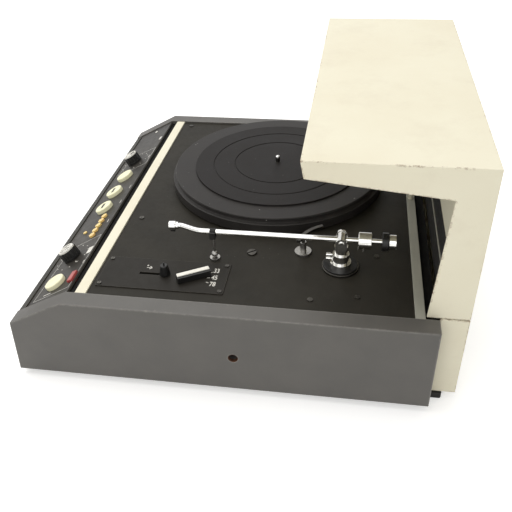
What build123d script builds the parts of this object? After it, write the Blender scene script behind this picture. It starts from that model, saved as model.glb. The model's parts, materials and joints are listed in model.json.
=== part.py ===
from build123d import *
import math
import os

# Broadcast turntable: a studio record deck between two grey side panels, with a direct-drive
# platter, a pick-up arm, a sloping control strip in front and a cream hood across the rear.
# Sizes are in millimetres. The working frame has its origin where the platter's axis meets
# the deck's upper face, +X to the operator's right, +Y to the rear and +Z up. The last
# function shifts every piece, so that the stored origin is under the middle of the object.

# Case
CASE_LEFT = -220.0
CASE_RIGHT = 350.0
SIDE_T = 25.0
TOE_Y = -315.0
NOSE_Y = -308.0
NOSE_Z = -37.0
CREST_Y = -232.0
PANEL_REAR = 233.0
PANEL_TOP = 3.0
CASE_BOTTOM = -121.0
FOOT_H = 10.0
FOOT_SIDE = 24.0
PANEL_HOLE_Y = -14.0
PANEL_HOLE_Z = -65.0
PANEL_HOLE_R = 6.5
SHEET_T = 2.5

# Platter, mat and spindle, from the axis outwards
RIM_R = 165.0
SKIRT_R = 169.0
RIM_TOP = 26.0
SKIRT_TOP = 17.0
PLATTER_GAP = 3.0
MAT_R = 132.5
MAT_TOP = 28.8
MAT_GROOVE_RADII = (102.6, 68.5)
MAT_GROOVE_W = 2.2
MAT_GROOVE_D = 1.2
SPINDLE_R = 3.58
SPINDLE_FOOT_R = 4.0
HUB_R = 20.0
HUB_BOTTOM = -8.0
SPINDLE_TIP = 39.5
SHAFT_R = 6.0
SHAFT_BOTTOM = -64.0
RUNNING_GAP = 0.05

# Pick-up arm
ARM_X = 230.5
ARM_Y = 112.0
ARM_Z = 44.0
ARM_TUBE_R = 3.7
ARM_BEND_Y = -78.0
ARM_BEND_R = 26.0
ELBOW_X = 218.0
ELBOW_Y = -103.0
ARM_ELBOW_R = 12.0
HEAD_X = 218.3
HEAD_Y = -107.2
HEAD_DROP = 1.8
COLLET_R = 5.2
COLLET_L = 3.2
HEAD_R = 6.2
HEAD_L = 9.6
HUB_HALF = 5.4
FORK_INNER = 9.2
FORK_OUTER = 12.0
FORK_HALF = 7.5
PIVOT_R = 2.0
PIVOT_CAP_R = 3.6
PILLAR_R = 8.0
ARM_SHAFT_R = 4.0
ROD_R = 3.2
MAIN_WEIGHT_R = 11.0
FINE_WEIGHT_R = 12.0
FINE_GRIP_R = 9.5
REST_Y = -57.0
LIFT_ARC_R = 58.0
LIFT_POST_DEG = 27.0
LIFT_ROD_R = 2.5
LIFT_GUIDE_R = 4.5

# Hood and rear housing
HOOD_LEFT = -189.0
HOOD_RIGHT = 322.0
HOOD_FRONT = 66.0
HOOD_REAR = 268.0
HOOD_TOP = 203.0
HOOD_BOTTOM = 3.0
HOOD_NOSE_T = 21.6
HOOD_NOSE_RAKE = 3.8
HOOD_INNER_Y = 227.4
HOOD_INNER_Z = 164.0
HOOD_FOOT_Y = 217.5
HOOD_END_T = 3.0
INNER_PANEL_Y = 232.0
INNER_PANEL_T = 2.0
INNER_PANEL_TOP = 87.0
INNER_RAIL_Z = 50.0
HOUSING_TOP = 2.0
HINGE_Y = 271.8
HINGE_Z = 1.5
HINGE_BARREL_R = 3.5
HINGE_XS = (-110.0, 240.0)

# Connectors on the plate behind the rear housing
PLUG_PLATE_X0 = 90.0
PLUG_PLATE_X1 = 250.0
PLUG_PLATE_Z0 = -96.0
PLUG_PLATE_Z1 = -40.0
PLUG_PLATE_MARGIN = 6.0
PLUG_Z = (PLUG_PLATE_Z0 + PLUG_PLATE_Z1) / 2
PLUG_FACE_Y = HOOD_REAR + 1.5
INLET_X = 222.0
INLET_HALF_X = 14.0
INLET_HALF_Z = 10.0
FUSE_X = 188.0
FUSE_R = 6.0
SOCKET_X = 145.0
SOCKET_R = 12.0
EARTH_X = 108.0
EARTH_R = 2.0

# Control strip: places are (X, distance up the slope from the nose)
STRIP_DROP = 2.0
STRIP_LIP_S = 12.0
BUTTON_S = 48.0
BUTTON_R = 14.5
BUTTONS = {"start_button": -3.0, "stop_button": 50.0, "cue_button": 99.0, "power_button": 289.0}
KNOB_S = 46.0
KNOBS = {"level_knob": -60.0, "pitch_knob": 228.0}
KEY_X = 289.0
KEY_S = 78.0
KEY_HALF_X = 10.6
KEY_HALF_S = 3.8
KEY_STEM = 3.0
LENS_S = 61.5
LENS_R = 4.9
LENS_XS = (130.5, 143.5, 156.5, 169.5, 182.5)
PALE_LENS_X = 161.0
PALE_LENS_S = 37.0
PALE_LENS_R = 3.1
LENS_GAP = 0.1
STEM_R = 4.5
SHAFT_PIN_R = 3.0
FRONT_CHANNEL_END = -221.2

# Operating plate beside the arm
PLATE_X0 = 243.0
PLATE_X1 = 306.0
PLATE_Y0 = -201.0
PLATE_Y1 = -32.0
PLATE_T = 1.5
CUE_X = 274.5
CUE_Y = -115.0
CUE_TRAVEL = 32.0
SELECTOR_X = 277.6
SELECTOR_Y = -75.4
SELECTOR_L = 45.0
SELECTOR_REST_DEG = 29.7
PLATE_SCREW_INSET = 5.0

# Fastenings on the deck
LOCK_PLACE = (213.0, -9.0)
LOCK_HEAD_R = 6.8
LOCK_SHANK_R = 4.0
LOCK_SLOT_DEG = -55.0
DECK_SCREWS = (
    (203.0, 159.5),
    (291.0, 136.0),
    (302.5, 78.0),
    (143.0, -188.0),
    (-180.0, -190.0),
    (-180.0, 190.0),
)
PEG_X = 48.0
PEG_Y = 210.5

INNER_LEFT = CASE_LEFT + SIDE_T
INNER_RIGHT = CASE_RIGHT - SIDE_T
SLOPE_DEG = math.degrees(math.atan2(PANEL_TOP - NOSE_Z, CREST_Y - NOSE_Y))
SLOPE_LEN = math.hypot(CREST_Y - NOSE_Y, PANEL_TOP - NOSE_Z)
DECK_FRONT = -206.0
DECK_REAR = 204.5
DECK_T = 3.0

# Shift from the working frame to the stored frame, whose origin is under the middle
STORED_X = -(CASE_LEFT + CASE_RIGHT) / 2
STORED_Y = -(TOE_Y + HINGE_Y + HINGE_BARREL_R) / 2
STORED_Z = FOOT_H - CASE_BOTTOM

PARTS = {}


def block(x0, x1, y0, y1, z0, z1):
    """Box between two corners."""
    size = Box(x1 - x0, y1 - y0, z1 - z0)
    return Pos((x0 + x1) / 2, (y0 + y1) / 2, (z0 + z1) / 2) * size


def disc(x, y, z0, z1, r):
    """Upright cylinder."""
    return Pos(x, y, (z0 + z1) / 2) * Cylinder(r, z1 - z0)


def ring(x, y, z0, z1, r_in, r_out):
    """Upright tube."""
    return disc(x, y, z0, z1, r_out) - disc(x, y, z0 - 1, z1 + 1, r_in)


def rod_x(y, z, x0, x1, r):
    """Cylinder along X."""
    return Pos((x0 + x1) / 2, y, z) * Rot(0, 90, 0) * Cylinder(r, x1 - x0)


def rod_y(x, z, y0, y1, r):
    """Cylinder along Y."""
    return Pos(x, (y0 + y1) / 2, z) * Rot(90, 0, 0) * Cylinder(r, y1 - y0)


def group(pieces):
    """Several separate solids kept in one node."""
    solids = []
    for piece in pieces:
        solids.extend(piece.solids())
    return Compound(solids)


def prism_x(points, x0, x1):
    """Outline in (Y, Z) extruded along X."""
    face = Plane.YZ * make_face(Polyline(*points, close=True))
    return Pos(x0, 0, 0) * extrude(face, amount=x1 - x0)


def on_slope(x, s, lift=0.0):
    """Place on the sloping strip: local Y runs up the slope, local Z stands square to it."""
    run = math.radians(SLOPE_DEG)
    y = NOSE_Y + s * math.cos(run) - lift * math.sin(run)
    z = NOSE_Z + s * math.sin(run) + lift * math.cos(run)
    return Location((x, y, z), (SLOPE_DEG, 0, 0))


def slope_disc(x, s, lift0, lift1, r):
    """Cylinder square to the sloping strip."""
    return on_slope(x, s, (lift0 + lift1) / 2) * Cylinder(r, lift1 - lift0)


def slope_block(x0, x1, s0, s1, lift0, lift1):
    """Box lined up with the sloping strip."""
    size = Box(x1 - x0, s1 - s0, lift1 - lift0)
    return on_slope((x0 + x1) / 2, (s0 + s1) / 2, (lift0 + lift1) / 2) * size


def side_panel(x0, x1, outer_x):
    """Thick flat panel with the chamfered nose, rounded along its outer face."""
    outline = [
        (TOE_Y, CASE_BOTTOM),
        (NOSE_Y, NOSE_Z),
        (CREST_Y, PANEL_TOP),
        (PANEL_REAR, PANEL_TOP),
        (PANEL_REAR, CASE_BOTTOM),
    ]
    panel = prism_x(outline, x0, x1)
    outer_face = panel.faces().sort_by(Axis.X)[-1 if outer_x > 0 else 0]
    panel = fillet(outer_face.edges(), 1.6)
    return panel - rod_x(PANEL_HOLE_Y, PANEL_HOLE_Z, x0 - 1, x1 + 1, PANEL_HOLE_R)


def make_case():
    """Side panels, bottom, front apron, rear bulkhead and feet."""
    PARTS["side_panel_right"] = side_panel(INNER_RIGHT, CASE_RIGHT, 1)
    PARTS["side_panel_left"] = side_panel(CASE_LEFT, INNER_LEFT, -1)
    floor_top = CASE_BOTTOM + SHEET_T
    bottom = block(INNER_LEFT, INNER_RIGHT, TOE_Y + 3, PANEL_REAR, CASE_BOTTOM, floor_top)
    bulkhead = block(INNER_LEFT, INNER_RIGHT, PANEL_REAR - SHEET_T, PANEL_REAR, floor_top, -24.0)
    PARTS["bottom_and_bulkhead"] = group([bottom, bulkhead])
    lean = (NOSE_Y - TOE_Y) / (NOSE_Z - CASE_BOTTOM)
    apron_top = NOSE_Z - 6.0
    apron = [
        (TOE_Y + 0.5 + lean * SHEET_T, floor_top),
        (TOE_Y + 0.5 + lean * (apron_top - CASE_BOTTOM), apron_top),
        (TOE_Y + 3.0 + lean * (apron_top - CASE_BOTTOM), apron_top),
        (TOE_Y + 3.0 + lean * SHEET_T, floor_top),
    ]
    PARTS["front_apron"] = prism_x(apron, INNER_LEFT, INNER_RIGHT)
    foot_inset = 6.0
    half = FOOT_SIDE / 2
    feet = []
    for x in (INNER_LEFT + half - SIDE_T + foot_inset, INNER_RIGHT - half):
        for y in (TOE_Y + 40.0, PANEL_REAR + half - foot_inset):
            foot = block(x - half, x + half, y - half, y + half, CASE_BOTTOM - FOOT_H, CASE_BOTTOM)
            feet.append(fillet(foot.edges().filter_by(Axis.Z), 2.5))
    PARTS["feet"] = group(feet)


def make_strip():
    """Sloping control strip with its lip, and the channel and cream trim behind it."""
    top = -STRIP_DROP
    PARTS["strip_lip"] = slope_block(INNER_LEFT, INNER_RIGHT, 1.0, STRIP_LIP_S, -6.0, -0.6)
    panel = slope_block(INNER_LEFT, INNER_RIGHT, STRIP_LIP_S, SLOPE_LEN - 1.0, top - 3.0, top)
    for x in BUTTONS.values():
        panel -= slope_disc(x, BUTTON_S, top - 5, top + 1, BUTTON_R + 0.6)
    for x in KNOBS.values():
        panel -= slope_disc(x, KNOB_S, top - 5, top + 1, 4.0)
    for x in LENS_XS:
        panel -= slope_disc(x, LENS_S, top - 5, top + 1, LENS_R + LENS_GAP)
    panel -= slope_disc(PALE_LENS_X, PALE_LENS_S, top - 5, top + 1, PALE_LENS_R + LENS_GAP)
    key_gap = 0.3
    half_x = KEY_HALF_X + key_gap
    half_s = KEY_HALF_S + key_gap
    panel -= slope_block(KEY_X - half_x, KEY_X + half_x, KEY_S - half_s, KEY_S + half_s, top - 5, top + 1)
    PARTS["control_panel"] = panel
    front_channel = block(INNER_LEFT, INNER_RIGHT, CREST_Y + 1.5, FRONT_CHANNEL_END, -9.0, -4.0)
    rear_channel = block(INNER_LEFT, INNER_RIGHT, HOOD_FOOT_Y, PANEL_REAR - SHEET_T, -8.0, -6.0)
    PARTS["dark_channels"] = group([front_channel, rear_channel])
    trim = block(INNER_LEFT, INNER_RIGHT, FRONT_CHANNEL_END + 0.2, DECK_FRONT - 0.3, -5.0, 2.0)
    PARTS["trim_strip"] = fillet(trim.edges().filter_by(Axis.X).group_by(Axis.Z)[-1], 0.8)
    lenses = [slope_disc(x, LENS_S, top - 4, top + 2.8, LENS_R) for x in LENS_XS]
    lenses.append(slope_disc(PALE_LENS_X, PALE_LENS_S, top - 4, top + 1.6, PALE_LENS_R))
    PARTS["indicator_lenses"] = group(lenses)


def make_buttons():
    """Round push buttons, the red key and every control below the panel."""
    top = -STRIP_DROP
    cap_top = top + 6.0
    stem_end = top - 24.0
    for name, x in BUTTONS.items():
        cap = slope_disc(x, BUTTON_S, top - 1.0, cap_top, BUTTON_R)
        cap = fillet(cap.edges().sort_by(Axis.Z)[-1], 1.6)
        PARTS[name] = cap + slope_disc(x, BUTTON_S, stem_end, top - 1.0, STEM_R)
    x0 = KEY_X - KEY_HALF_X
    x1 = KEY_X + KEY_HALF_X
    key = slope_block(x0, x1, KEY_S - KEY_HALF_S, KEY_S + KEY_HALF_S, top - 3.0, top + 3.4)
    key = fillet(key.edges().sort_by(Axis.Z)[-4:], 0.8)
    stem_s = (KEY_S - KEY_STEM, KEY_S + KEY_STEM)
    PARTS["mains_key"] = key + slope_block(KEY_X - KEY_STEM, KEY_X + KEY_STEM, *stem_s, stem_end, top - 3.0)
    body_bottom = top - 32.0
    well_bottom = top - 29.0
    half = 10.0
    switches = []
    for x in BUTTONS.values():
        switch = slope_block(x - half, x + half, BUTTON_S - half, BUTTON_S + half, body_bottom, top - 10.0)
        switches.append(switch - slope_disc(x, BUTTON_S, well_bottom, top, STEM_R + RUNNING_GAP))
    key_body = slope_block(KEY_X - 8, KEY_X + 8, KEY_S - 5, KEY_S + 4.5, body_bottom, top - 15.0)
    well = KEY_STEM + 0.1
    key_body -= slope_block(KEY_X - well, KEY_X + well, KEY_S - well, KEY_S + well, well_bottom, top)
    switches.append(key_body)
    for x in KNOBS.values():
        control = slope_disc(x, KNOB_S, top - 20.0, top - 3.2, 12.0)
        switches.append(control - slope_disc(x, KNOB_S, top - 17.0, top, SHAFT_PIN_R + RUNNING_GAP))
    half = 14.0
    body = block(SELECTOR_X - half, SELECTOR_X + half, SELECTOR_Y - half, SELECTOR_Y + half, -28.0, -6.0)
    switches.append(body - disc(SELECTOR_X, SELECTOR_Y, -20.0, -5.0, SHAFT_PIN_R + RUNNING_GAP))
    PARTS["control_switches"] = group(switches)


def make_knobs():
    """Two fluted knobs, each a skirt on its shaft and a pale cap."""
    top = -STRIP_DROP
    flute_count = 12
    flute_r = 2.8
    flute_circle = 15.3
    for name, x in KNOBS.items():
        skirt = slope_disc(x, KNOB_S, top + 1.0, top + 15.0, 13.5)
        for i in range(flute_count):
            turn = math.radians(360.0 / flute_count * i)
            flute_x = x + flute_circle * math.cos(turn)
            flute_s = KNOB_S + flute_circle * math.sin(turn)
            skirt -= slope_disc(flute_x, flute_s, top + 4.0, top + 16.0, flute_r)
        skirt += slope_disc(x, KNOB_S, top - 16.0, top + 1.0, SHAFT_PIN_R)
        cap = slope_disc(x, KNOB_S, top + 15.0, top + 16.6, 12.0)
        PARTS[name] = group([skirt, cap])


def make_deck():
    """Deck plate with its openings, fixing screws and the rail along its rear edge."""
    deck = block(INNER_LEFT, INNER_RIGHT, DECK_FRONT, DECK_REAR, -DECK_T, 0.0)
    deck -= disc(0, 0, -5, 1, HUB_R + 4.0)
    deck -= disc(ARM_X, ARM_Y, -5, 1, 8.2)
    post_x, post_y = lift_post_place()
    deck -= disc(post_x, post_y, -5, 1, 4.6)
    deck -= block(CUE_X - 4, CUE_X + 4, CUE_Y - CUE_TRAVEL - 5, CUE_Y + 5, -5, 1)
    deck -= disc(SELECTOR_X, SELECTOR_Y, -5, 1, 3.6)
    lock_x, lock_y = LOCK_PLACE
    deck -= disc(lock_x, lock_y, -5, 1, LOCK_SHANK_R + RUNNING_GAP)
    for x, y in DECK_SCREWS:
        deck -= disc(x, y, -5, 1, 2.0)
    PARTS["deck_plate"] = deck
    rail = block(INNER_LEFT, INNER_RIGHT, DECK_REAR + 0.3, HOOD_FOOT_Y - 0.5, -5.0, 1.0)
    rail = fillet(rail.edges().filter_by(Axis.X).group_by(Axis.Z)[-1], 0.6)
    PARTS["rear_rail"] = rail + disc(PEG_X, PEG_Y, 0.5, 9.0, 3.0)


def slotted_screw(x, y, z, head_r, head_t, shank_r, length):
    """Flat screw with a straight slot, its head sitting at height z."""
    head = disc(x, y, z, z + head_t, head_r)
    head -= block(x - head_r - 1, x + head_r + 1, y - 0.4, y + 0.4, z + head_t / 2, z + head_t + 1)
    return head + disc(x, y, z - length, z, shank_r)


def make_deck_screws():
    """Screws that hold the deck and the operating plate."""
    screws = []
    for x, y in DECK_SCREWS:
        screws.append(slotted_screw(x, y, 0.0, 3.6, 1.4, 2.0, 9.0))
    for x, y in plate_screw_places():
        screws.append(slotted_screw(x, y, PLATE_T, 2.8, 1.2, 1.5, PLATE_T))
    PARTS["deck_screws"] = group(screws)


def make_lock_screw():
    """Slotted quarter-turn screw that locks the sprung deck for transport."""
    x, y = LOCK_PLACE
    head = disc(x, y, 0.0, 2.6, LOCK_HEAD_R)
    head = fillet(head.edges().sort_by(Axis.Z)[-1], 0.8)
    slot = block(-LOCK_HEAD_R - 1, LOCK_HEAD_R + 1, -1.0, 1.0, 1.2, 4.0)
    head -= Pos(x, y, 0) * Rot(0, 0, LOCK_SLOT_DEG) * slot
    PARTS["lock_screw"] = head + disc(x, y, -26.0, 0.0, LOCK_SHANK_R)


def make_platter():
    """Platter with a waisted rim, rubber mat, spindle and the motor's rotor below."""
    half_section = [
        (SHAFT_R, HUB_BOTTOM),
        (HUB_R, HUB_BOTTOM),
        (HUB_R, 18.0),
        (158.0, 20.0),
        (161.0, PLATTER_GAP),
        (SKIRT_R, PLATTER_GAP),
        (SKIRT_R, SKIRT_TOP),
        (RIM_R - 1.0, SKIRT_TOP + 1.0),
        (RIM_R - 1.8, RIM_TOP - 3.0),
        (RIM_R, RIM_TOP - 1.5),
        (RIM_R - 1.0, RIM_TOP),
        (SPINDLE_FOOT_R, RIM_TOP),
        (SPINDLE_FOOT_R, 20.0),
        (SHAFT_R, 20.0),
    ]
    face = Plane.XZ * make_face(Polyline(*half_section, close=True))
    PARTS["platter"] = revolve(face, Axis.Z)
    mat = ring(0, 0, RIM_TOP, MAT_TOP, SPINDLE_FOOT_R, MAT_R)
    for r in MAT_GROOVE_RADII:
        mat -= ring(0, 0, MAT_TOP - MAT_GROOVE_D, MAT_TOP + 1, r - MAT_GROOVE_W / 2, r + MAT_GROOVE_W / 2)
    PARTS["platter_mat"] = mat
    spindle = disc(0, 0, MAT_TOP - 1.0, SPINDLE_TIP, SPINDLE_R)
    spindle = fillet(spindle.edges().sort_by(Axis.Z)[-1], 2.4)
    spindle += disc(0, 0, 20.0, MAT_TOP, SPINDLE_FOOT_R)
    PARTS["spindle"] = spindle + disc(0, 0, SHAFT_BOTTOM, 20.0, SHAFT_R)
    cup_top = HUB_BOTTOM
    cup = ring(0, 0, cup_top - 4.0, cup_top, SHAFT_R, 58.0)
    cup += ring(0, 0, cup_top - 24.0, cup_top - 4.0, 55.0, 58.0)
    magnet = ring(0, 0, cup_top - 24.0, cup_top - 5.0, 50.0, 55.0)
    PARTS["motor_rotor"] = group([cup, magnet])


def make_motor():
    """Fixed side of the motor: bearing, laminated stator, coils and the bracket under the deck."""
    bearing_r = 11.0
    bearing_top = -14.0
    core_r = 46.0
    core_bottom = -34.0
    core_top = -20.0
    bracket_r = 72.0
    bracket_t = 8.0
    bore_bottom = SHAFT_BOTTOM - 4.0
    bearing = disc(0, 0, bore_bottom - 6.0, bearing_top, bearing_r)
    bearing -= disc(0, 0, bore_bottom, bearing_top + 1.0, SHAFT_R + RUNNING_GAP)
    ball = Pos(0, 0, bore_bottom + 2.0) * Sphere(1.98)
    PARTS["bearing_housing"] = group([bearing, ball])
    coil_count = 12
    coils = [ring(0, 0, core_bottom, core_top, bearing_r, core_r)]
    for i in range(coil_count):
        coil = block(2 * bearing_r, core_r - 4.0, -3.4, 3.4, core_top, core_top + 5.5)
        coils.append(Rot(0, 0, 360.0 / coil_count * i) * fillet(coil.edges().filter_by(Axis.Z), 2.0))
    PARTS["motor_stator"] = group(coils)
    bracket = ring(0, 0, core_bottom - bracket_t, core_bottom, bearing_r, bracket_r)
    leg_count = 3
    for i in range(leg_count):
        leg = disc(bracket_r - 5.5, 0, core_bottom - 1.0, -DECK_T, 4.0)
        bracket += Rot(0, 0, 360.0 / leg_count * i + 30.0) * leg
    PARTS["motor_bracket"] = bracket


def lift_post_place():
    """Foot of the arm lift, on an arc about the arm's pivot."""
    turn = math.radians(LIFT_POST_DEG)
    return ARM_X - LIFT_ARC_R * math.sin(turn), ARM_Y - LIFT_ARC_R * math.cos(turn)


def make_arm_base():
    """Round base, pillar and its clamps, all fixed to the deck."""
    base_r = 22.6
    base_top = 5.0
    pillar_top = 27.0
    PARTS["arm_base"] = ring(ARM_X, ARM_Y, 0.0, base_top, PILLAR_R, base_r)
    bezel = ring(ARM_X, ARM_Y, 0.0, 3.2, base_r, base_r + 2.0)
    PARTS["arm_base_ring"] = fillet(bezel.edges().group_by(Axis.Z)[-1].sort_by(SortBy.LENGTH)[-1], 0.8)
    pillar = disc(ARM_X, ARM_Y, -18.0, pillar_top, PILLAR_R)
    pillar -= disc(ARM_X, ARM_Y, 8.0, pillar_top + 1.0, ARM_SHAFT_R + RUNNING_GAP)
    nut = ring(ARM_X, ARM_Y, -9.0, -DECK_T, PILLAR_R, 14.0)
    PARTS["arm_pillar"] = group([pillar, nut])
    collar = ring(ARM_X, ARM_Y, base_top, base_top + 4.5, PILLAR_R, 14.0)
    collar += ring(ARM_X, ARM_Y, base_top + 4.5, base_top + 17.0, PILLAR_R, 11.0)
    shank_r = 1.6
    head_y = ARM_Y - 13.5
    screws = []
    for z in (13.0, 19.0):
        collar -= rod_y(ARM_X, z, ARM_Y - 20.0, ARM_Y - PILLAR_R, shank_r)
        shank = rod_y(ARM_X, z, head_y, ARM_Y - PILLAR_R - 0.2, shank_r)
        screws.append(shank + rod_y(ARM_X, z, head_y - 5.5, head_y, 2.5))
    PARTS["arm_collar"] = group([collar] + screws)


def make_arm_carrier():
    """Swinging fork on its upright shaft, with round cheeks whose pivots carry the arm."""
    bar_bottom = 33.0
    bar_top = 36.0
    fork = disc(ARM_X, ARM_Y, 27.4, bar_bottom + 1.0, 9.0)
    fork += block(ARM_X - FORK_OUTER, ARM_X + FORK_OUTER, ARM_Y - 5.0, ARM_Y + 5.0, bar_bottom, bar_top)
    for side in (-1, 1):
        x0, x1 = sorted((ARM_X + side * FORK_INNER, ARM_X + side * FORK_OUTER))
        fork += block(x0, x1, ARM_Y - FORK_HALF, ARM_Y + FORK_HALF, bar_top - 1.0, ARM_Z)
        fork += rod_x(ARM_Y, ARM_Z, x0, x1, FORK_HALF)
    fork -= rod_x(ARM_Y, ARM_Z, ARM_X - FORK_OUTER - 1, ARM_X + FORK_OUTER + 1, PIVOT_R + RUNNING_GAP)
    for side in (-1, 1):
        x0, x1 = sorted((ARM_X + side * FORK_OUTER, ARM_X + side * (FORK_OUTER + 1.6)))
        fork += rod_x(ARM_Y, ARM_Z, x0, x1, PIVOT_CAP_R)
    PARTS["arm_fork"] = fork + disc(ARM_X, ARM_Y, 8.5, 28.0, ARM_SHAFT_R)


def make_arm():
    """Arm tube with its bent front, head, pick-up, pivot block and the rod behind."""
    hub_half_x = FORK_INNER - 0.6
    hub = rod_x(ARM_Y, ARM_Z, ARM_X - hub_half_x, ARM_X + hub_half_x, 6.4)
    hub = hub & block(ARM_X - 9, ARM_X + 9, ARM_Y - HUB_HALF, ARM_Y + HUB_HALF, ARM_Z - 7, ARM_Z + 7)
    pin_half = FORK_OUTER - 0.2
    PARTS["arm_hub"] = hub + rod_x(ARM_Y, ARM_Z, ARM_X - pin_half, ARM_X + pin_half, PIVOT_R)
    path = FilletPolyline(
        (ARM_X, ARM_Y - HUB_HALF, ARM_Z),
        (ARM_X, ARM_BEND_Y, ARM_Z),
        (ELBOW_X, ELBOW_Y, ARM_Z - HEAD_DROP),
        (HEAD_X, HEAD_Y, ARM_Z - HEAD_DROP),
        radius=(ARM_BEND_R, ARM_ELBOW_R),
    )
    start = Plane(origin=path @ 0, z_dir=path % 0)
    outer = sweep(start * Circle(ARM_TUBE_R), path)
    hole = start * Circle(ARM_TUBE_R - 0.8)
    PARTS["arm_tube"] = outer - sweep(hole, path)
    along = Vector(HEAD_X - ELBOW_X, HEAD_Y - ELBOW_Y, 0).normalized()
    tip = Plane(origin=(HEAD_X, HEAD_Y, ARM_Z - HEAD_DROP), z_dir=along, x_dir=(-along.Y, along.X, 0))
    PARTS["head_collet"] = tip * Pos(0, 0, COLLET_L / 2) * Cylinder(COLLET_R, COLLET_L)
    head_middle = COLLET_L + HEAD_L / 2
    head = tip * Pos(0, 0, head_middle) * Cylinder(HEAD_R, HEAD_L)
    PARTS["headshell"] = fillet(head.edges(), 1.2)
    cartridge = tip * Pos(0, -HEAD_R - 0.2, head_middle) * Box(5.0, 4.0, HEAD_L - 3.0)
    PARTS["cartridge"] = cartridge - tip * Pos(0, 0, head_middle) * Cylinder(HEAD_R, HEAD_L + 2.0)
    sleeve = rod_y(ARM_X, ARM_Z, REST_Y - 4.0, REST_Y + 4.0, 4.7)
    PARTS["rest_sleeve"] = sleeve - rod_y(ARM_X, ARM_Z, REST_Y - 5.0, REST_Y + 5.0, ARM_TUBE_R)
    PARTS["weight_rod"] = rod_y(ARM_X, ARM_Z, ARM_Y + HUB_HALF, ARM_Y + 68.0, ROD_R)


def make_weights():
    """Main counterweight with its locking screw, and the fine weight at the end of the rod."""
    main_start = ARM_Y + 21.0
    main_length = 17.0
    fine_start = ARM_Y + 51.0
    fine_length = 8.0
    grip_length = 10.0
    weight = rod_y(ARM_X, ARM_Z, main_start, main_start + main_length, MAIN_WEIGHT_R)
    weight = fillet(weight.edges(), 1.0)
    low = ARM_Z - MAIN_WEIGHT_R
    weight += disc(ARM_X, main_start + main_length / 2, low - 4.5, low + 2.0, 2.4)
    bore = rod_y(ARM_X, ARM_Z, main_start - 1, fine_start + 20, ROD_R + RUNNING_GAP)
    PARTS["main_weight"] = weight - bore
    grip_start = fine_start + fine_length
    fine = rod_y(ARM_X, ARM_Z, fine_start, grip_start, FINE_WEIGHT_R)
    fine = fillet(fine.edges(), 0.8)
    grip = rod_y(ARM_X, ARM_Z, grip_start, grip_start + grip_length, FINE_GRIP_R)
    grip = fillet(grip.edges().sort_by(Axis.Y)[-1], 0.8)
    PARTS["fine_weight"] = fine + grip - bore


def make_arm_rest():
    """Post with a small ball and an open cradle under the arm."""
    cradle_z = 36.0
    cradle_top = ARM_Z - ARM_TUBE_R - 1.4
    y0 = REST_Y - 4.0
    y1 = REST_Y + 4.0
    foot = disc(ARM_X, REST_Y, 0.0, 3.0, 7.0)
    ball = Pos(ARM_X, REST_Y, 8.0) * Sphere(4.6)
    PARTS["rest_post"] = foot + ball + disc(ARM_X, REST_Y, 2.0, cradle_z, 1.6)
    cradle = block(ARM_X - 6.5, ARM_X + 7.5, y0, y1, cradle_z, cradle_top)
    PARTS["rest_cradle"] = cradle + block(ARM_X + 5.2, ARM_X + 7.5, y0, y1, cradle_z + 2.0, ARM_Z + 2.0)


def make_lift():
    """Arm lift: a guide in the deck and a rod that carries the curved bar."""
    x, y = lift_post_place()
    guide_bottom = -20.0
    guide_top = 18.0
    bar_bottom = 26.0
    bar_top = 30.0
    guide = disc(x, y, guide_bottom, guide_top, LIFT_GUIDE_R) + disc(x, y, 0.0, 3.5, 11.5)
    PARTS["lift_guide"] = guide - disc(x, y, guide_bottom - 1, guide_top + 1, LIFT_ROD_R + RUNNING_GAP)
    rod = disc(x, y, guide_bottom - 4.0, bar_bottom + 1.0, LIFT_ROD_R)
    bar = ring(ARM_X, ARM_Y, bar_bottom, bar_top, LIFT_ARC_R - LIFT_ROD_R, LIFT_ARC_R + LIFT_ROD_R)
    corners = [(ARM_X, ARM_Y)]
    for degrees, reach in ((12.0, 80.0), (45.0, 135.0), (62.0, 80.0)):
        turn = math.radians(degrees)
        corners.append((ARM_X - reach * math.sin(turn), ARM_Y - reach * math.cos(turn)))
    wedge = make_face(Polyline(*corners, close=True))
    bar = bar & Pos(0, 0, bar_bottom - 2) * extrude(wedge, amount=bar_top - bar_bottom + 4)
    PARTS["lift_bar"] = bar + rod


def plate_screw_places():
    """Corner screws of the operating plate."""
    places = []
    for x in (PLATE_X0 + PLATE_SCREW_INSET, PLATE_X1 - PLATE_SCREW_INSET):
        for y in (PLATE_Y0 + PLATE_SCREW_INSET, PLATE_Y1 - PLATE_SCREW_INSET):
            places.append((x, y))
    return places


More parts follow.
